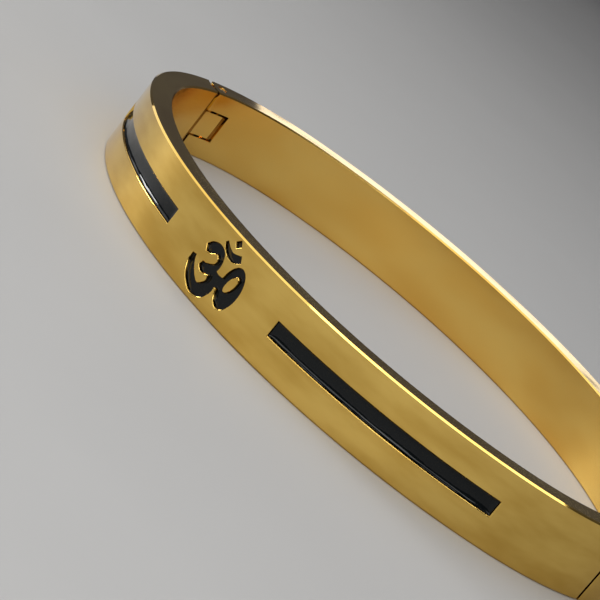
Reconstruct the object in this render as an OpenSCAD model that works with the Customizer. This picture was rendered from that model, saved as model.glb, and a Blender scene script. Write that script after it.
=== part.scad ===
// Oval kada bangle: a polished, gold-plated brass band in two halves. They turn on a hinge pin at the left
// end and meet over a flat clasp tongue at the right end. An Om and two long bars of black enamel are sunk
// in the front half. All sizes are millimetres. The oval lies flat: X is its long axis with the hinge at -X,
// the Om faces -Y, Z is the height of the band, and the origin is the oval's middle on the lower rim's plane.

/* [Oval] */
// Inside length of the oval, from hinge to clasp
inner_l = 60; // [57:0.5:66]
// Inside width of the oval, from front to back
inner_w = 50; // [45:0.5:54]

/* [Band] */
// Thickness of the band
wall = 2.4; // [2.2:0.1:3.2]
// Height of the band, from rim to rim
band_h = 7; // [6.8:0.1:10]
// Size of the fine bevel along the four long edges
edge = 0.15; // [0.05:0.05:0.25]

/* [Enamel] */
// Depth of the recesses below the polished face
recess = 0.7; // [0.5:0.05:0.9]
// How far the face of the enamel lies below the polished face
enamel_drop = 0.4; // [0.1:0.05:0.45]
// Gap between the enamel and the walls and floor of its recess
enamel_gap = 0.03; // [0.01:0.01:0.05]

/* [Bars] */
// Distance along the front from the middle of the Om to the near end of a bar
bar_from = 7.3; // [5:0.1:9]
// Length of a bar along the front
bar_l = 23.1; // [10:0.1:23.5]
// Height of a bar
bar_h = 1.5; // [0.8:0.1:3]

/* [Om] */
// Side of the square that the Om is drawn in
om_size = 6; // [4:0.1:6.1]

/* [Hinge] */
// Diameter of the hinge pin
pin_d = 1; // [0.8:0.05:1.1]
// Size of the bevel round each end of the pin
pin_bevel = 0.12; // [0.05:0.01:0.2]
// How far each end of the pin lies below its rim
pin_inset = 0.05; // [0:0.01:0.2]
// Radial play of the pin in the front half's knuckle
pin_play = 0.05; // [0.02:0.01:0.08]
// Height of the front half's knuckle, in the middle of the band
knuckle_h = 2.6; // [2:0.1:3.4]
// How far a knuckle reaches past the pin on the inside of the band
knuckle_reach = 1.5; // [1.2:0.1:2]
// How much a knuckle's outer rounding is larger than half the band's thickness
knuckle_swell = 0.05; // [0.02:0.01:0.1]
// Gap between a knuckle and the half that it turns against
hinge_gap = 0.35; // [0.3:0.05:0.5]
// Gap above and below the front half's knuckle
side_gap = 0.2; // [0.1:0.05:0.3]

/* [Clasp] */
// Distance along the outer face from the seam at the clasp to the end of the oval's long axis
seam_off = 3.8; // [1:0.1:6]
// Gap in the closed seam
seam_gap = 0.25; // [0.15:0.05:0.4]
// Thickness of the clasp tongue
tongue_t = 0.6; // [0.4:0.05:0.7]
// Height of the clasp tongue
tongue_h = 4; // [2:0.5:5]
// How deep the tongue is held in the front half
tongue_root = 2; // [1.5:0.1:3]
// Gap round the tongue's root, which is set fast in the front half
tongue_set = 0.03; // [0.01:0.01:0.05]
// How far the tongue reaches into the back half
tongue_reach = 2.5; // [1.5:0.1:3]
// Play of the tongue in its socket
tongue_play = 0.25; // [0.15:0.05:0.25]

/* [Hidden] */
$fn = 96;
gold = [0.86, 0.66, 0.27];
enamel_black = [0.05, 0.05, 0.05];

// The oval has four arcs. It meets the axes at half_l and half_w. Its end arcs are centred at (+-end_x, 0)
// and its front and back arcs at (0, +-side_y). The line through two centres rises 3 in 4, so the arcs
// meet end_turn either side of X, on round numbers.
half_l = inner_l / 2 + wall;
half_w = inner_w / 2 + wall;
end_x = inner_l - inner_w;
side_y = end_x * 3 / 4;
end_r = half_l - end_x;
side_r = half_w + side_y;
end_turn = atan2(3, 4);
far = 4 * half_l;

// Lengths along the outer face: half of the front arc, a whole end arc, and from the Om to the hinge pin
side_half = side_r * (90 - end_turn) * PI / 180;
end_len = end_r * 2 * end_turn * PI / 180;
quarter = side_half + end_len / 2;

// The arcs in order round the oval: centre x, centre y, radius, first angle, distance from the Om, length
ARCS = [
    [-end_x, 0, end_r, 180 - end_turn, -side_half - end_len, end_len],
    [0, side_y, side_r, 180 + end_turn, -side_half, 2 * side_half],
    [end_x, 0, end_r, 360 - end_turn, side_half, end_len],
    [0, -side_y, side_r, end_turn, side_half + end_len, 2 * side_half],
    [-end_x, 0, end_r, 180 - end_turn, 3 * side_half + end_len, end_len]
];

// Hinge: the pin stands at mid thickness and mid length of the left end
pin_x = -half_l + wall / 2;
knuckle_r = wall / 2 + knuckle_swell;
mid_z = band_h / 2;

// Cutting shapes: how far they run past a rim, and the size of those that clear the band's whole thickness
over = 1;
room = 3 * wall;

// Clasp: the tongue is curved about the hinge pin, so that it slides straight out as the bangle opens
seam_at = quarter - seam_off;
seam_turn = -seam_off / end_r * 180 / PI;
seam_x = end_x + (end_r - wall / 2) * cos(seam_turn);
seam_y = (end_r - wall / 2) * sin(seam_turn);
clasp_r = norm([seam_x - pin_x, seam_y]);
clasp_turn = atan2(seam_y, seam_x - pin_x);

// Om: each stroke is a row of knots of x, height and half the pen's width, all as shares of om_size from
// the middle of the drawing square, and so are the places and sizes of the loop, its eye and the dot
UPPER_STROKE = [[-0.36, 0.11, 0.05], [-0.29, 0.16, 0.08], [-0.19, 0.21, 0.07], [-0.09, 0.195, 0.055],
    [-0.03, 0.11, 0.045], [-0.035, 0, 0.055], [-0.11, -0.08, 0.07], [-0.19, -0.115, 0.07],
    [-0.28, -0.095, 0.035]];
LOWER_STROKE = [[-0.03, -0.06, 0.06], [0.02, -0.14, 0.075], [0.05, -0.25, 0.096], [-0.01, -0.36, 0.1],
    [-0.13, -0.415, 0.08], [-0.25, -0.37, 0.075], [-0.36, -0.28, 0.07], [-0.44, -0.17, 0.055],
    [-0.465, -0.08, 0.04]];
LINK_STROKE = [[-0.04, -0.08, 0.07], [0.08, -0.11, 0.075], [0.22, -0.1, 0.085]];
CRESCENT_STROKE = [[-0.145, 0.385, 0.025], [-0.06, 0.32, 0.042], [0.04, 0.28, 0.052],
    [0.14, 0.295, 0.06], [0.235, 0.355, 0.05]];
loop_at = [0.346, -0.053];
loop_r = [0.183, 0.324];
loop_tilt = 3;
eye_at = [0.328, 0];
eye_r = [0.066, 0.155];
eye_tilt = -14;
dot_at = [0.04, 0.47];
dot_side = 0.07;
dot_round = 0.012;
knot_steps = 4;

// A smooth path through knots: value at share t of the way from knot b to knot c
function between(a, b, c, d, t) =
    (2 * b + (c - a) * t + (2 * a - 5 * b + 4 * c - d) * t * t + (3 * b - a - 3 * c + d) * t * t * t) / 2;
function knot(k, i) =
    i < 0 ? 2 * k[0] - k[1] : i >= len(k) ? 2 * k[len(k) - 1] - k[len(k) - 2] : k[i];
function path(k) = concat(
    [for (i = [0:len(k) - 2], j = [0:knot_steps - 1])
        between(knot(k, i - 1), knot(k, i), knot(k, i + 1), knot(k, i + 2), j / knot_steps)],
    [k[len(k) - 1]]);
function across(p, i) =
    let (a = p[max(i - 1, 0)], b = p[min(i + 1, len(p) - 1)], d = [b.x - a.x, b.y - a.y])
    [-d.y, d.x] / norm(d);

// One pen stroke along a row of knots
module stroke(k) {
    p = path(k);
    n = len(p) - 1;
    left = [for (i = [0:n]) [p[i].x, p[i].y] + across(p, i) * p[i].z];
    right = [for (i = [n:-1:0]) [p[i].x, p[i].y] - across(p, i) * p[i].z];
    polygon(concat(left, right));
}

// An upright ellipse, leaning by tilt degrees
module leaning_oval(at, r, tilt) {
    sides = 32;
    translate(at) rotate(tilt)
        polygon([for (i = [0:sides - 1]) [r.x * cos(i * 360 / sides), r.y * sin(i * 360 / sides)]]);
}

module om_body() {
    stroke(UPPER_STROKE);
    stroke(LOWER_STROKE);
    stroke(LINK_STROKE);
    difference() {
        leaning_oval(loop_at, loop_r, loop_tilt);
        leaning_oval(eye_at, eye_r, eye_tilt);
    }
}

module om_crescent() {
    stroke(CRESCENT_STROKE);
}

module om_dot() {
    translate(dot_at) offset(r = dot_round, $fn = 16) rotate(45) square(dot_side, center = true);
}

// One full turn about an arc's centre. The profile's x = 0 lies on the arc's outer face, and it may run in
// past the centre.
module turned(r) {
    rotate_extrude() intersection() {
        translate([r, 0]) children();
        translate([0, -over]) square([2 * r, band_h + 2 * over]);
    }
}

// A filled oval with the given half profile. Its end discs are whole. The lens of the two wide arcs is cut
// along the lines that rise 3 in 4 where the arcs meet, so its cut faces lie inside the end discs.
module filled_oval() {
    for (side = [-1, 1]) translate([side * end_x, 0, 0]) turned(end_r) children();
    intersection() {
        translate([0, side_y, 0]) turned(side_r) children();
        translate([0, -side_y, 0]) turned(side_r) children();
        translate([0, 0, -over]) linear_extrude(height = band_h + 2 * over)
            polygon([[end_x, 0], [end_x + far * 4, -far * 3], [-end_x - far * 4, -far * 3],
                [-end_x, 0], [-end_x - far * 4, far * 3], [end_x + far * 4, far * 3]]);
    }
}

// The arc at a distance from the Om, and the direction there from the arc's centre
function arc_at(s) = [for (a = ARCS) if (s >= a[4] && s <= a[4] + a[5]) a][0];
function turn_at(s) = let (a = arc_at(s)) a[3] + (s - a[4]) / a.z * 180 / PI;
function outside_at(s) = [arc_at(s).x, arc_at(s).y] + far * [cos(turn_at(s)), sin(turn_at(s))];

// The room between two distances from the Om, cut square to the band at both
module sector(from, to) {
    steps = 6;
    translate([0, 0, -over]) linear_extrude(height = band_h + 2 * over)
        polygon(concat([[arc_at(from).x, arc_at(from).y]],
            [for (i = [0:steps]) outside_at(from + (to - from) * i / steps)],
            [[arc_at(to).x, arc_at(to).y]]));
}

// The band between two distances from the Om, with its long edges bevelled
module band(from, to) {
    intersection() {
        difference() {
            filled_oval() polygon([[-far, 0], [-edge, 0], [0, edge], [0, band_h - edge], [-edge, band_h],
                [-far, band_h]]);
            filled_oval() polygon([[-far, -over], [edge - wall, -over], [edge - wall, 0], [-wall, edge],
                [-wall, band_h - edge], [edge - wall, band_h], [edge - wall, band_h + over],
                [-far, band_h + over]]);
        }
        sector(from, to);
    }
}

// A skin of the band between two depths below the outer face and two heights
module skin(from_depth, to_depth, low, high) {
    difference() {
        filled_oval() translate([-far, low]) square([far - from_depth, high - low]);
        filled_oval() translate([-far, -over]) square([far - to_depth, band_h + 2 * over]);
    }
}

// A skin of the front, cut to an outline drawn in shares of om_size
module sunk(from_depth, to_depth) {
    intersection() {
        skin(from_depth, to_depth, 0, band_h);
        translate([0, -half_w + wall, mid_z]) rotate([90, 0, 0])
            linear_extrude(height = 2 * wall) scale(om_size) children();
    }
}

// A bar in the front between two depths, with its ends and sides drawn in by trim
module bar(from_depth, to_depth, trim) {
    intersection() {
        skin(from_depth, to_depth, mid_z - bar_h / 2 + trim, mid_z + bar_h / 2 - trim);
        sector(bar_from + trim, bar_from + bar_l - trim);
    }
}

// What a half loses to the other half's knuckle between two heights: a round seat on the outside
// and a straight one on the inside. The other half lies towards +Y.
module knuckle_room(low, high) {
    seat = knuckle_reach + hinge_gap;
    translate([pin_x, 0, low]) {
        cylinder(r = knuckle_r + hinge_gap, h = high - low);
        translate([-room, 0, 0]) cube([room, room, high - low]);
        translate([-hinge_gap, -seat, 0]) cube([room, room + seat, high - low]);
    }
}

// What a knuckle that reaches towards +Y loses: its rounded outer corner, and all past its flat end
module knuckle_end() {
    translate([pin_x, 0, -over]) {
        difference() {
            translate([-room, 0, 0]) cube([room, room, band_h + 2 * over]);
            translate([0, 0, -over]) cylinder(r = knuckle_r, h = band_h + 4 * over);
        }
        translate([-room, knuckle_reach, 0]) cube([2 * room, room, band_h + 2 * over]);
    }
}

module pin_bore(play) {
    translate([pin_x, 0, -over]) cylinder(d = pin_d + 2 * play, h = band_h + 2 * over);
}

// The clasp tongue, or with play the room for it, from its root to its tip
module tongue_shape(root, reach, play) {
    translate([pin_x, 0, 0])
        rotate_extrude(start = clasp_turn - root / clasp_r * 180 / PI,
            angle = (root + reach) / clasp_r * 180 / PI)
            translate([clasp_r - tongue_t / 2 - play, mid_z - tongue_h / 2 - play])
                square([tongue_t + 2 * play, tongue_h + 2 * play]);
}

module front_half() {
    color(gold) difference() {
        band(-quarter - 2 * wall, seam_at - seam_gap / 2);
        knuckle_room(-over, mid_z - knuckle_h / 2);
        knuckle_room(mid_z + knuckle_h / 2, band_h + over);
        knuckle_end();
        pin_bore(pin_play);
        tongue_shape(tongue_root + tongue_set, wall, tongue_set);
        sunk(-wall, recess) om_body();
        sunk(-wall, recess) om_crescent();
        sunk(-wall, recess) om_dot();
        bar(-wall, recess, 0);
        mirror([1, 0, 0]) bar(-wall, recess, 0);
    }
}

module back_half() {
    color(gold) difference() {
        band(seam_at + seam_gap / 2, 3 * quarter + 2 * wall);
        mirror([0, 1, 0])
            knuckle_room(mid_z - knuckle_h / 2 - side_gap, mid_z + knuckle_h / 2 + side_gap);
        mirror([0, 1, 0]) knuckle_end();
        pin_bore(0);
        tongue_shape(wall, tongue_reach + tongue_play, tongue_play);
    }
}

// The pin: a cylinder, bevelled by a cone from either end
module hinge_pin() {
    long = band_h - 2 * pin_inset;
    tip = pin_d - 2 * pin_bevel;
    color(gold) translate([pin_x, 0, pin_inset]) intersection() {
        cylinder(d = pin_d, h = long);
        cylinder(d1 = tip, d2 = tip + 2 * long, h = long);
        cylinder(d1 = tip + 2 * long, d2 = tip, h = long);
    }
}

module clasp_tongue() {
    color(gold) tongue_shape(tongue_root, tongue_reach, 0);
}

module om_enamel() {
    color(enamel_black) sunk(enamel_drop, recess - enamel_gap)
        offset(delta = -enamel_gap / om_size) om_body();
}

module om_crescent_enamel() {
    color(enamel_black) sunk(enamel_drop, recess - enamel_gap)
        offset(delta = -enamel_gap / om_size) om_crescent();
}

module om_dot_enamel() {
    color(enamel_black) sunk(enamel_drop, recess - enamel_gap)
        offset(delta = -enamel_gap / om_size) om_dot();
}

module right_bar_enamel() {
    color(enamel_black) bar(enamel_drop, recess - enamel_gap, enamel_gap);
}

module left_bar_enamel() {
    color(enamel_black) mirror([1, 0, 0]) bar(enamel_drop, recess - enamel_gap, enamel_gap);
}

front_half();
back_half();
hinge_pin();
clasp_tongue();
om_enamel();
om_crescent_enamel();
om_dot_enamel();
left_bar_enamel();
right_bar_enamel();
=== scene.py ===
# %% [markdown]
# # A kada bangle in polished gold and black enamel
# The bangle's solids were built in CAD and are loaded as a fixed frame, in metres. This lesson gives them the
# finish of the real thing: a mirror-polished band, glossy enamel, a pale table and soft light.

# %% Load the frame
import math
import bmesh
import bpy
from mathutils import Matrix, Vector


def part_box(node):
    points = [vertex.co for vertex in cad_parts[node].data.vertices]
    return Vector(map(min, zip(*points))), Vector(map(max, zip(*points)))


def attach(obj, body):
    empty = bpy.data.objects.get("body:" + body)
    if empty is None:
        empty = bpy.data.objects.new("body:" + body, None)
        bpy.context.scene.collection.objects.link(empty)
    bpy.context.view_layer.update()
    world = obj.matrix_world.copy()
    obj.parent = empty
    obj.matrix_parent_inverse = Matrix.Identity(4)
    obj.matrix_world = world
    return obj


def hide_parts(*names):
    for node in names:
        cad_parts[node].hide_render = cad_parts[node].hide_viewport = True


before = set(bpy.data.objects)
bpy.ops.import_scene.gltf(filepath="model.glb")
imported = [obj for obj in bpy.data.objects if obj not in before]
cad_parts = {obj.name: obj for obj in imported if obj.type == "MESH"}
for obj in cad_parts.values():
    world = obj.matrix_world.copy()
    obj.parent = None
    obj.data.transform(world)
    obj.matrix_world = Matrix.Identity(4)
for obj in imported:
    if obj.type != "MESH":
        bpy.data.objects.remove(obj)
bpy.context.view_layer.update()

MM = 0.001


# %% [markdown]
# ## The oval's measures
# The real band is a flat strip, bent round an oval of four arcs: a tight one at each end and a wide one along
# each side. They meet smoothly on lines that rise 3 in 4, and that fixes their radii. The pin stands in the
# middle of the wall, so its place gives the wall. All of this can be read from boxes of the loaded nodes, so it
# isn't typed in a second time. Lengths are in millimetres here, because Blender's mesh tools round off steps of
# a thousandth of a unit, which in metres is a whole millimetre.

# %% Measure the oval
RISE = 3 / 4
low, high = (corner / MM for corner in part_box("front_half"))
pin_low, pin_high = (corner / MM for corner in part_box("hinge_pin"))
half_l, half_w, band_h = -low.x, -low.y, high.z
wall = 2 * (half_l + (pin_low.x + pin_high.x) / 2)
end_x = 2 * (half_l - half_w)
side_y = RISE * end_x
end_r, side_r = half_l - end_x, half_w + side_y
end_turn = math.atan(RISE)
end_len = 2 * end_r * end_turn
side_len = 2 * side_r * (math.pi / 2 - end_turn)
lap = 2 * (end_len + side_len)
print(f"oval {2 * half_l:.2f} x {2 * half_w:.2f} mm, wall {wall:.2f}, height {band_h:.2f}")
print(f"arcs of {end_r:.2f} and {side_r:.2f} mm, {lap:.2f} mm round")

# %% [markdown]
# ## Unbending the band
# The strip is easiest to shape before it is bent, because its faces are flat then. So each piece is laid out
# flat, shaped there, and bent back. Flat, X is the distance along the outer face from the Om, Y the depth below
# that face, and Z the height. Each arc is a row: its centre, its radius, the angle and the distance at its
# middle, and its length.

# %% The four arcs
ROUNDING = 1e-6
FRONT, CLASP_END, BACK, HINGE_END = range(4)
ARCS = [
    (Vector((0, side_y)), side_r, -math.pi / 2, 0, side_len),
    (Vector((end_x, 0)), end_r, 0, lap / 4, end_len),
    (Vector((0, -side_y)), side_r, math.pi / 2, lap / 2, side_len),
    (Vector((-end_x, 0)), end_r, math.pi, lap * 3 / 4, end_len),
]
beginnings = [round(distance - length / 2, 1) for _, _, _, distance, length in ARCS]
print("the arcs begin at", beginnings, "mm along the strip")


def arc_of(p):
    if abs(p.x) > end_x and abs(p.y) < RISE * (abs(p.x) - end_x):
        return ARCS[CLASP_END if p.x > 0 else HINGE_END]
    return ARCS[FRONT if p.y < 0 else BACK]


def place_on_oval(along):
    for centre, radius, angle, distance, length in ARCS:
        past = (along - distance + lap / 2) % lap - lap / 2
        if abs(past) <= length / 2 + ROUNDING:
            turn = angle + past / radius
            return centre, radius, Vector((math.cos(turn), math.sin(turn)))


# %% Lay a point out flat, and bend it back
def laid_flat(p, middle):
    centre, radius, angle, distance, _ = arc_of(p)
    out = p.xy - centre
    turn = (math.atan2(out.y, out.x) - angle + math.pi) % math.tau - math.pi
    along = distance + turn * radius
    along += lap * round((middle - along) / lap)
    return Vector((along, radius - out.length, p.z))


def bent(q):
    centre, radius, out = place_on_oval(q.x)
    return Vector((*(centre + (radius - q.y) * out), q.z))


def bent_normal(q, n):
    _, radius, out = place_on_oval(q.x)
    forward = Vector((-out.y, out.x)) * (n.x / (1 - q.y / radius))
    return Vector((*(forward - n.y * out), n.z)).normalized()


trial = Vector((-31, 3, 2))
missed_by = (bent(laid_flat(trial, lap / 2)) - trial).length
print(f"a point near the hinge comes back within {missed_by:.1e} mm")

# %% [markdown]
# ## Cleaning, cutting and bending a piece
# A CAD node is made of long, thin triangles, and a mirror shows every one of them. A merged copy of it, laid
# flat, has truly flat faces, so a limited dissolve makes each of them whole again. It's then cut in short steps
# and bent. Its shading directions are taken while it is flat, where they're exact, and turned with it.

# %% A piece laid out flat, and cuts through it
SAME_POINT = 1e-4
SAME_PLANE = math.radians(1)
ALONG, UP = Vector((1, 0, 0)), Vector((0, 0, 1))


def flat_copy(node, middle):
    bm = bmesh.new()
    bm.from_mesh(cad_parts[node].data)
    bmesh.ops.scale(bm, vec=(1 / MM,) * 3, verts=bm.verts)
    bmesh.ops.remove_doubles(bm, verts=bm.verts, dist=SAME_POINT)
    for v in bm.verts:
        v.co = laid_flat(v.co, middle)
    bmesh.ops.dissolve_limit(bm, angle_limit=SAME_PLANE, verts=bm.verts, edges=bm.edges,
                             use_dissolve_boundaries=False)
    bm.normal_update()
    return bm


def cut_across(bm, axis, level):
    everything = bm.verts[:] + bm.edges[:] + bm.faces[:]
    bmesh.ops.bisect_plane(bm, geom=everything, dist=SAME_POINT, plane_co=level * axis, plane_no=axis)


def cut_in_steps(bm, step):
    first = min(v.co.x for v in bm.verts)
    last = max(v.co.x for v in bm.verts)
    for i in range(math.ceil(first / step), math.floor(last / step) + 1):
        cut_across(bm, ALONG, i * step)


# %% Shading directions at the corners
def corner_normals(bm, smooth_below):
    bm.normal_update()
    area = {f: f.calc_area() for f in bm.faces}
    limit = math.cos(math.radians(smooth_below))
    found = []
    for f in bm.faces:
        for corner in f.loops:
            total = Vector((0, 0, 0))
            for g in corner.vert.link_faces:
                if g.normal.dot(f.normal) > limit:
                    total += g.normal * area[g]
            normal = total.normalized() if total.length else f.normal
            found.append(bent_normal(corner.vert.co, normal))
    return found


# %% The bend and the finished object
def bend_piece(bm, name, node, body, smooth_below):
    normals = corner_normals(bm, smooth_below)
    flat = [v.co.copy() for v in bm.verts]
    for v in bm.verts:
        v.co = bent(v.co) * MM
    for f in bm.faces:
        f.smooth = True
    mesh = bpy.data.meshes.new(name)
    bm.to_mesh(mesh)
    bm.free()
    strip = mesh.attributes.new("strip", "FLOAT_VECTOR", "POINT")
    for place, q in zip(strip.data, flat):
        place.vector = q
    mesh.normals_split_custom_set(normals)
    piece = bpy.data.objects.new(name, mesh)
    bpy.context.scene.collection.objects.link(piece)
    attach(piece, body)
    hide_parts(node)
    print(name, "has", len(mesh.polygons), "faces")
    return piece


# %% [markdown]
# ## The two gold halves
# On the real band the mouth of each sunk shape has a soft shoulder, because the polishing wheel drags the gold
# over the edge. A boolean could cut it, but a bevel on the mouth's own edges keeps the outline of the CAD. The
# narrow crescent takes only a small one. Another small one takes the sharpness off the seam and the hinge on
# the inside and the rims, where no wheel reaches.
#
# A mouth's edge lies between a face on the strip's surface and one that drops steeply away from it. How steeply
# is told by the cosine of the angle between the directions that two faces look in.

# %% Find the edges of the mouths
PARALLEL_COSINE = 0.999
STEEP_COSINE = 0.4
ON_FACE = 0.01


def lies_on(f, which):
    middle = f.calc_center_median()
    if which == "rim":
        return abs(f.normal.z) > PARALLEL_COSINE and min(middle.z, band_h - middle.z) < ON_FACE
    level, outward = (0, -1) if which == "outside" else (wall, 1)
    return outward * f.normal.y > PARALLEL_COSINE and abs(middle.y - level) < ON_FACE


def mouth_edges(bm, which):
    found = []
    for e in bm.edges:
        if len(e.link_faces) == 2:
            a, b = e.link_faces
            steep = abs(a.normal.dot(b.normal)) < STEEP_COSINE
            if steep and lies_on(a, which) != lies_on(b, which):
                found.append(e)
    return found


# %% [markdown]
# The crescent's edges have to be told from the others, so the edges are sorted into closed outlines. Near the
# Om the distance along the strip is all but the same as X, so the box of the crescent's enamel picks its own.
# The Om's curves come in very short edges, and a bevel wider than those would run into itself. So the points of
# its mouth and of its recess's floor are merged first where they lie very close together.

# %% Sort the edges into outlines
def outlines(edges):
    left, found = set(edges), []
    for start in edges:
        if start in left:
            left.remove(start)
            line = [start]
            for e in line:
                for joined in (x for v in e.verts for x in v.link_edges):
                    if joined in left:
                        left.remove(joined)
                        line.append(joined)
            found.append(line)
    return found


def within(line, node, margin):
    lowest, highest = (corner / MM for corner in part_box(node))
    points = {v for e in line for v in e.verts}
    return all(lowest[k] - margin < v.co[k] < highest[k] + margin for v in points for k in (0, 2))


# %% Soften the edges and cut the halves
FRONT_SHOULDER, BACK_SHOULDER, CRESCENT_SHOULDER, FINE_SHOULDER = 0.105, 0.06, 0.035, 0.04
ROUND_STEPS, FINE_STEPS = 3, 2
OM_REACH, OM_MERGE, CRESCENT_MARGIN = 4, 0.09, 0.06
RECESS = 0.7
GOLD_STEP, GOLD_SMOOTH_BELOW = 0.5, 33


def soften(bm, edges, width, steps):
    bmesh.ops.bevel(bm, geom=edges, offset=width, offset_type="OFFSET", segments=steps, profile=0.5,
                    affect="EDGES", clamp_overlap=False, material=-1)
    bm.normal_update()
    print("  softened", len(edges), "edges by", width, "mm")


def gold_half(name, node, body, middle, shoulder):
    bm = flat_copy(node, middle)
    om = [v for v in bm.verts if abs(v.co.x) < OM_REACH
          and min(abs(v.co.y), abs(v.co.y - RECESS)) < ON_FACE]
    bmesh.ops.remove_doubles(bm, verts=om, dist=OM_MERGE)
    bm.normal_update()
    narrow, wide = [], []
    for line in outlines(mouth_edges(bm, "outside")):
        (narrow if within(line, "om_crescent_enamel", CRESCENT_MARGIN) else wide).extend(line)
    soften(bm, narrow, CRESCENT_SHOULDER, ROUND_STEPS)
    soften(bm, wide, shoulder, ROUND_STEPS)
    for which in ("inside", "rim"):
        soften(bm, mouth_edges(bm, which), FINE_SHOULDER, FINE_STEPS)
    cut_in_steps(bm, GOLD_STEP)
    return bend_piece(bm, name, node, body, GOLD_SMOOTH_BELOW)


front_band = gold_half("front_band", "front_half", "front", 0, FRONT_SHOULDER)
back_band = gold_half("back_band", "back_half", "back", lap / 2, BACK_SHOULDER)

# %% [markdown]
# ## The enamel
# Real enamel is poured wet. It creeps up the walls a little and sets as a shallow trough, which is why a lamp
# draws a thin wavy line along it. The top of a bar is cut into narrow strips, at shares of its height that are
# closest at the walls, and their points are moved to that trough. The creep reaches further in some places
# than in others, so the line wanders. The wander is a sum of waves, and a wave is a row: its height, its rate
# per mm and its start.

# %% The trough
CREEP, SINK = 0.17, 0.01
REACH, MORE_REACH = 0.10, 0.12
MEAN_WANDER, WANDER_WAVES = 0.5, ((0.3, 0.9, 1), (0.2, 2.3, 0))


def trough(along, from_wall):
    wander = sum((rise * math.sin(rate * along + start) for rise, rate, start in WANDER_WAVES), MEAN_WANDER)
    return SINK * wander - CREEP * math.exp(-from_wall / (REACH + MORE_REACH * wander))


for from_wall in (0, 0.1, 1):
    print(f"{from_wall} mm from a wall the enamel is {-trough(0, from_wall):.3f} mm above its flat top")

# %% Enamel in the bars
BAR_CUTS = (0.02, 0.05, 0.09, 0.14, 0.2, 0.28, 0.38, 0.5, 0.62, 0.72, 0.8, 0.86, 0.91, 0.95, 0.98)
ENAMEL_STEP, ENAMEL_SMOOTH_BELOW = 0.25, 50
ON_TOP = 0.001


def bar_enamel(side):
    node = side + "_bar_enamel"
    bm = flat_copy(node, 0)
    lows, highs = (Vector([pick(v.co[k] for v in bm.verts) for k in range(3)]) for pick in (min, max))
    for share in BAR_CUTS:
        cut_across(bm, UP, lows.z + share * (highs.z - lows.z))
    cut_in_steps(bm, ENAMEL_STEP)
    for v in bm.verts:
        if v.co.y < lows.y + ON_TOP:
            from_wall = min(v.co.z - lows.z, highs.z - v.co.z, v.co.x - lows.x, highs.x - v.co.x)
            v.co.y += trough(v.co.x, from_wall)
    return bend_piece(bm, side + "_bar_fill", node, "front", ENAMEL_SMOOTH_BELOW)


bars = [bar_enamel(side) for side in ("left", "right")]

# %% [markdown]
# The Om's enamel has no straight sides to cut along. An inset gives its top a rim of even width, and lifting
# the outer points of that rim by the same width makes the same creep.

# %% Enamel in the Om
OM_FILL_MERGE = 0.07
OM_RIMS = (("om_enamel", 0.06), ("om_crescent_enamel", 0.04), ("om_dot_enamel", 0.03))


def om_enamel(node, rim):
    bm = flat_copy(node, 0)
    top = min(v.co.y for v in bm.verts)
    bmesh.ops.remove_doubles(bm, verts=bm.verts, dist=OM_FILL_MERGE)
    bm.normal_update()
    faces = [f for f in bm.faces if f.normal.y < -PARALLEL_COSINE
             and f.calc_center_median().y < top + ON_FACE]
    ring = bmesh.ops.inset_region(bm, faces=faces, thickness=rim, depth=0, use_even_offset=True,
                                  use_boundary=True)["faces"]
    inner = {v for f in faces for v in f.verts}
    for v in {v for f in ring for v in f.verts} - inner:
        v.co.y -= rim
    cut_in_steps(bm, ENAMEL_STEP)
    return bend_piece(bm, node.replace("_enamel", "_fill"), node, "front", ENAMEL_SMOOTH_BELOW)


om_fills = [om_enamel(node, rim) for node, rim in OM_RIMS]

# %% [markdown]
# ## Shader maths in plain Python
# A finish is a sum of patterns. Wrapping a node's socket in a small class lets us write that sum as Python
# writes it, and every other node comes from one method. A node with several outputs is asked for one of them by
# its number.

# %% The field
class Field:
    """A socket of a material's nodes that Python's operators work on."""

    def __init__(self, finish, socket):
        self.finish, self.socket = finish, socket

    def _maths(self, operation, a, b):
        return self.finish.node("ShaderNodeMath", {"operation": operation}, {0: a, 1: b})

    def __add__(self, other):
        return self._maths("ADD", self, other)

    __radd__ = __add__

    def __sub__(self, other):
        return self._maths("SUBTRACT", self, other)

    def __rsub__(self, other):
        return self._maths("SUBTRACT", other, self)

    def __mul__(self, other):
        return self._maths("MULTIPLY", self, other)

    __rmul__ = __mul__


# %% The finish
MIXED_COLOUR = 2


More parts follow.
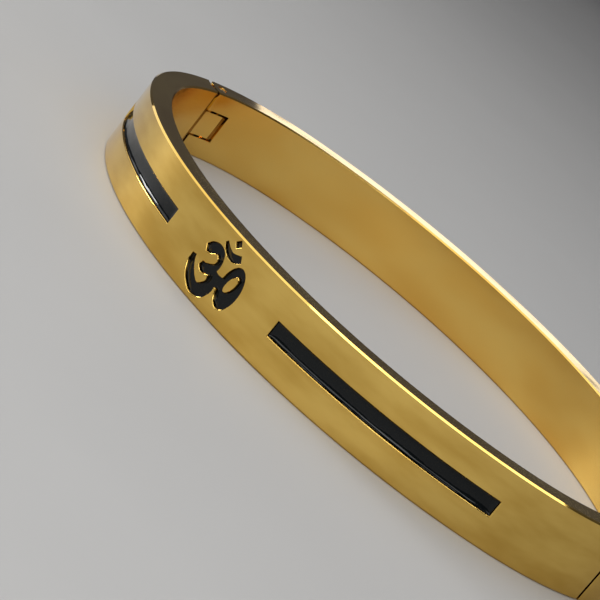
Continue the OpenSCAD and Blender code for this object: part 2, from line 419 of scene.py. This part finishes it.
class Finish:
    """A material under construction."""

    def __init__(self, name):
        self.material = bpy.data.materials.new(name)
        self.material.use_nodes = True
        self.nodes, self.links = self.material.node_tree.nodes, self.material.node_tree.links
        self.shader = next(n for n in self.nodes if n.type == "BSDF_PRINCIPLED")

    def node(self, kind, settings, inputs, output=0):
        made = self.nodes.new(kind)
        for key, value in settings.items():
            setattr(made, key, value)
        for key, value in inputs.items():
            self.feed(made.inputs[key], value)
        return Field(self, made.outputs[output])

    def feed(self, socket, value):
        if isinstance(value, Field):
            self.links.new(value.socket, socket)
        else:
            socket.default_value = value

    def set(self, **values):
        for key, value in values.items():
            self.feed(self.shader.inputs[key.replace("_", " ")], value)
        print(self.material.name, "takes", len(self.nodes), "nodes")
        return self.material

    def vector(self, operation, place, other):
        return self.node("ShaderNodeVectorMath", {"operation": operation}, {0: place, 1: other})

    def noise(self, place, stretch, detail, roughness=0.5):
        return self.node("ShaderNodeTexNoise", {}, {"Vector": self.vector("MULTIPLY", place, stretch),
                                                    "Scale": 1.0, "Detail": detail, "Roughness": roughness})

    def between(self, value, low, high):
        return self.node("ShaderNodeMapRange", {"interpolation_type": "SMOOTHSTEP"},
                         {"Value": value, "From Min": low, "From Max": high})

    def blend(self, share, a, b):
        return self.node("ShaderNodeMix", {"data_type": "RGBA"}, {"Factor": share, "A": a, "B": b},
                         MIXED_COLOUR)

    def bump(self, height, strength):
        return self.node("ShaderNodeBump", {}, {"Strength": strength, "Distance": MM, "Height": height})


def dress(pieces, material):
    for piece in pieces:
        piece.data.materials.clear()
        piece.data.materials.append(material)


# %% [markdown]
# ## The gold of the band
# Gold plate over a polished base. The outside is a mirror, with faint hairlines along the strip and a slow
# waviness from the wheel. The rims are a little duller, and the inside is polished less than the outside. The
# outside's tones are deeper than the plate's own, because the pale table that it mirrors lightens it. The
# strip attribute holds each point's place on the flat strip, so the hairlines follow the bend. A pattern is a
# row: its waves per mm along, into and up the strip, its detail, and its roughness if that isn't a half.

# %% The band's patterns, tones and finish in numbers
TONE_PATTERN = (0.12, 0.4, 0.4), 3.0
CLOUD_PATTERN = (0.09, 0.28, 0.22), 1.5
HAIRLINE_PATTERN = (0.6, 22.0, 22.0), 4.0, 0.7
WAVE_PATTERN = (0.16, 0.3, 0.35), 1.0
SMEAR_PATTERN = (0.5, 0.9, 0.9), 4.0
OUTSIDE_TONES = (0.66, 0.41, 0.085, 1), (0.84, 0.565, 0.145, 1)
INSIDE_TONES = (0.79, 0.47, 0.10, 1), (0.89, 0.60, 0.16, 1)
MOST_OF_NOISE, SMEARED_PLACES = (0.3, 0.7), (0.45, 0.75)
INSIDE_FROM, INSIDE_TO, RIM_DEPTH = wall - 0.25, wall - 0.05, 0.04
MIRROR, SMEARED, SCRATCHED, DULL_RIM = 0.045, 0.03, 0.015, 0.03
DULL_INSIDE, CLOUDED_INSIDE = 0.1, 0.12
WAVE_RELIEF, HAIRLINE_RELIEF, BAND_BUMP = 0.05, 0.0004, 0.5
STRIP_VECTOR, DEPTH_AXIS, HEIGHT_AXIS = 1, 1, 2
print(f"the inside's finish begins {INSIDE_FROM:.2f} mm deep and is whole at {INSIDE_TO:.2f} mm")


# %% Band gold
def strip_place(finish):
    return finish.node("ShaderNodeAttribute", {"attribute_name": "strip"}, {}, STRIP_VECTOR)


def band_gold():
    gold = Finish("band_gold")
    strip = strip_place(gold)
    depth = gold.node("ShaderNodeSeparateXYZ", {}, {0: strip}, DEPTH_AXIS)
    height = gold.node("ShaderNodeSeparateXYZ", {}, {0: strip}, HEIGHT_AXIS)
    inside = gold.between(depth, INSIDE_FROM, INSIDE_TO)
    from_rim = gold.node("ShaderNodeMath", {"operation": "MINIMUM"}, {0: height, 1: band_h - height})
    rim = 1 - gold.between(from_rim, 0.0, RIM_DEPTH)
    tone = gold.between(gold.noise(strip, *TONE_PATTERN), *MOST_OF_NOISE)
    cloud = gold.between(gold.noise(strip, *CLOUD_PATTERN), *MOST_OF_NOISE)
    smear = gold.between(gold.noise(strip, *SMEAR_PATTERN), *SMEARED_PLACES)
    hairlines, waves = gold.noise(strip, *HAIRLINE_PATTERN), gold.noise(strip, *WAVE_PATTERN)
    colour = gold.blend(inside, gold.blend(tone, *OUTSIDE_TONES), gold.blend(cloud, *INSIDE_TONES))
    grain = (SMEARED * smear + SCRATCHED * hairlines) * (1 - rim) * (1 - inside)
    rough = MIRROR + grain + inside * (DULL_INSIDE + CLOUDED_INSIDE * cloud) + DULL_RIM * rim
    relief = WAVE_RELIEF * waves + HAIRLINE_RELIEF * hairlines * (1 - rim)
    return gold.set(Base_Color=colour, Metallic=1.0, Roughness=rough, Normal=gold.bump(relief, BAND_BUMP))


dress((front_band, back_band), band_gold())

# %% [markdown]
# ## The pin and the tongue
# Small fittings are cut from wire and sheet and plated with the rest, but they aren't polished, so they stay
# satin. They keep their CAD meshes and only get a better finish. The pin's ends are hammered into low domes on
# the real hinge, which is why they glint. A bump that falls with the distance from the pin's axis gives that.
# These meshes have no strip attribute, so their pattern's waves are counted per metre of the object's own axes.

# %% Fitting gold
FITTING_TONES = (0.80, 0.50, 0.15, 1), (0.88, 0.58, 0.20, 1)
FITTING_GRAIN = (9 / MM, 9 / MM, 1.5 / MM), 3.0
SATIN, GRAIN_ROUGH, GRAIN_RELIEF, DOME, FITTING_BUMP = 0.16, 0.1, 0.008, 0.9, 1.0
OBJECT_PLACE, VECTOR_LENGTH = 3, 1


def from_pin_axis(gold, place):
    axis = (pin_low + pin_high) / 2 * MM
    centred = gold.node("ShaderNodeMapping", {}, {"Vector": place, "Location": (-axis.x, -axis.y, 0)})
    flat = gold.vector("MULTIPLY", centred, (1 / MM, 1 / MM, 0))
    return gold.node("ShaderNodeVectorMath", {"operation": "LENGTH"}, {0: flat}, VECTOR_LENGTH)


def fitting_gold(name, domed):
    gold = Finish(name)
    place = gold.node("ShaderNodeTexCoord", {}, {}, OBJECT_PLACE)
    grain = gold.noise(place, *FITTING_GRAIN)
    colour = gold.blend(gold.between(grain, *MOST_OF_NOISE), *FITTING_TONES)
    relief = GRAIN_RELIEF * grain
    if domed:
        away = from_pin_axis(gold, place)
        relief = relief - DOME * away * away
    return gold.set(Base_Color=colour, Metallic=1.0, Roughness=SATIN + GRAIN_ROUGH * grain,
                    Normal=gold.bump(relief, FITTING_BUMP))


for node, domed in (("hinge_pin", True), ("clasp_tongue", False)):
    dress([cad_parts[node]], fitting_gold(node + "_gold", domed))

# %% [markdown]
# ## The enamel's finish
# Near-black, glossy and not quite even: a slight orange peel bends its reflections, and a few specks are a
# little paler and duller.

# %% Black enamel
ENAMEL_TONES = (0.003, 0.0045, 0.005, 1), (0.009, 0.010, 0.009, 1)
PEEL_PATTERN = (1.2, 2.5, 2.5), 2.0
SPECK_PATTERN, SPECKED_PLACES = ((9.0, 9.0, 9.0), 2.0), (0.62, 0.75)
GLOSS, SPECK_ROUGH, PEEL_RELIEF, ENAMEL_BUMP, ENAMEL_IOR = 0.05, 0.06, 0.03, 0.4, 1.33


def black_enamel():
    enamel = Finish("black_enamel")
    strip = strip_place(enamel)
    peel = enamel.noise(strip, *PEEL_PATTERN)
    specks = enamel.between(enamel.noise(strip, *SPECK_PATTERN), *SPECKED_PLACES)
    return enamel.set(Base_Color=enamel.blend(specks, *ENAMEL_TONES), IOR=ENAMEL_IOR,
                      Roughness=GLOSS + SPECK_ROUGH * specks,
                      Normal=enamel.bump(PEEL_RELIEF * peel, ENAMEL_BUMP))


dress(bars + om_fills, black_enamel())

# %% [markdown]
# ## The table
# A plain pale surface, large enough to fill the picture and to be the thing that the gold mirrors.

# %% Table
TABLE_TONES = (0.47, 0.465, 0.455, 1), (0.505, 0.50, 0.49, 1)
TABLE_MOTTLE = (40.0, 40.0, 40.0), 3.0
TABLE_REACH, TABLE_ROUGH = 1.5, 0.6


def table_finish():
    pale = Finish("pale_table")
    mottle = pale.noise(pale.node("ShaderNodeTexCoord", {}, {}, OBJECT_PLACE), *TABLE_MOTTLE)
    return pale.set(Base_Color=pale.blend(mottle, *TABLE_TONES), Roughness=TABLE_ROUGH)


def pale_table():
    bm = bmesh.new()
    bmesh.ops.create_grid(bm, x_segments=1, y_segments=1, size=TABLE_REACH)
    mesh = bpy.data.meshes.new("table")
    bm.to_mesh(mesh)
    bm.free()
    table = bpy.data.objects.new("table", mesh)
    bpy.context.scene.collection.objects.link(table)
    dress([table], table_finish())


pale_table()

# %% [markdown]
# ## Light
# Gold is only as good as what it mirrors, so each lamp hangs where one surface mirrors it. A dim room gives
# the browns. The key is low at the left, where it runs as a white line along the enamel's trough. The strip and
# the overhead lamp draw the bright line along the bevel, one from the left end to the Om and the other from
# there to the right. The front and right lamps light the shoulders round the Om and along the bar, and a small
# one far behind makes the rear rim cream. A lamp is a row: its name, its place and aim in metres, its power in
# watts, and its width and height in metres. The key is round and has no height.

# %% Lamps
LAMPS = (
    ("key", (-0.43, -0.10, 0.14), (0, 0, 0), 0.62, 0.12, None),
    ("strip", (-0.14, -0.02, 0.21), (0, -0.02, 0), 0.43, 0.24, 0.42),
    ("overhead", (0.103, -0.022, 0.28), (0.118, -0.009, 0), 0.19, 0.07, 0.37),
    ("front", (0.02, -0.27, 0.14), (0, -0.02, 0), 0.4, 0.46, 0.1),
    ("right", (0.2, -0.17, 0.165), (0, -0.02, 0), 0.14, 0.2, 0.08),
    ("rear", (-0.2, 0.347, 0.081), (0, 0, 0), 0.011, 0.13, 0.016),
)


def soft_lamp(name, at, aim, power, width, height):
    data = bpy.data.lights.new(name, "AREA")
    data.shape, data.size, data.energy = "DISK", width, power
    if height:
        data.shape, data.size_y = "RECTANGLE", height
    lamp = bpy.data.objects.new(name, data)
    lamp.location = at
    lamp.rotation_euler = (Vector(aim) - Vector(at)).to_track_quat("-Z", "Y").to_euler()
    bpy.context.scene.collection.objects.link(lamp)


for row in LAMPS:
    soft_lamp(*row)
print("lamps", [row[0] for row in LAMPS])

# %% Room
ROOM_TONE = (0.08, 0.08, 0.085, 1)
room = bpy.data.worlds.new("dim_room")
bpy.context.scene.world = room
room.use_nodes = True
room.node_tree.nodes["Background"].inputs["Color"].default_value = ROOM_TONE
bpy.context.scene.view_settings.view_transform = "Standard"
print("room tone", ROOM_TONE[:3])

# %% [markdown]
# ## Camera
# The place, lens and roll were found by fitting the oval's edges to the photograph's. The angles are in
# radians and the offsets from the band's middle in millimetres, as the sensor is. The focal length was fitted
# in the picture's pixels, and a sensor of usual width turns it into a lens. What is nearer or further than two
# distances in metres isn't drawn.

# %% Camera
AZIMUTH, ELEVATION, ROLL = 0.571443, 0.250767, 0.675190
ASIDE, ABOVE, BEHIND = -8.407, 2.337, 232.30
FOCAL_PIXELS, PICTURE_PIXELS, SENSOR = 2611.0, 600, 36
NEAREST, FURTHEST = 0.01, 10


def camera():
    back = Vector((math.sin(AZIMUTH) * math.cos(ELEVATION), -math.cos(AZIMUTH) * math.cos(ELEVATION),
                   math.sin(ELEVATION)))
    right = Vector((math.cos(AZIMUTH), math.sin(AZIMUTH), 0))
    up = back.cross(right)
    turned_right = math.cos(ROLL) * right + math.sin(ROLL) * up
    turned_up = -math.sin(ROLL) * right + math.cos(ROLL) * up
    at = ASIDE * turned_right + ABOVE * turned_up + BEHIND * back + Vector((0, 0, band_h / 2))
    data = bpy.data.cameras.new("camera")
    data.sensor_width, data.lens = SENSOR, FOCAL_PIXELS * SENSOR / PICTURE_PIXELS
    data.clip_start, data.clip_end = NEAREST, FURTHEST
    shot = bpy.data.objects.new("camera", data)
    axes = Matrix((turned_right, turned_up, back)).transposed().to_4x4()
    shot.matrix_world = Matrix.Translation(at * MM) @ axes
    bpy.context.scene.collection.objects.link(shot)
    bpy.context.scene.camera = shot
    print("camera", round(at.z, 1), "mm above the table")


camera()
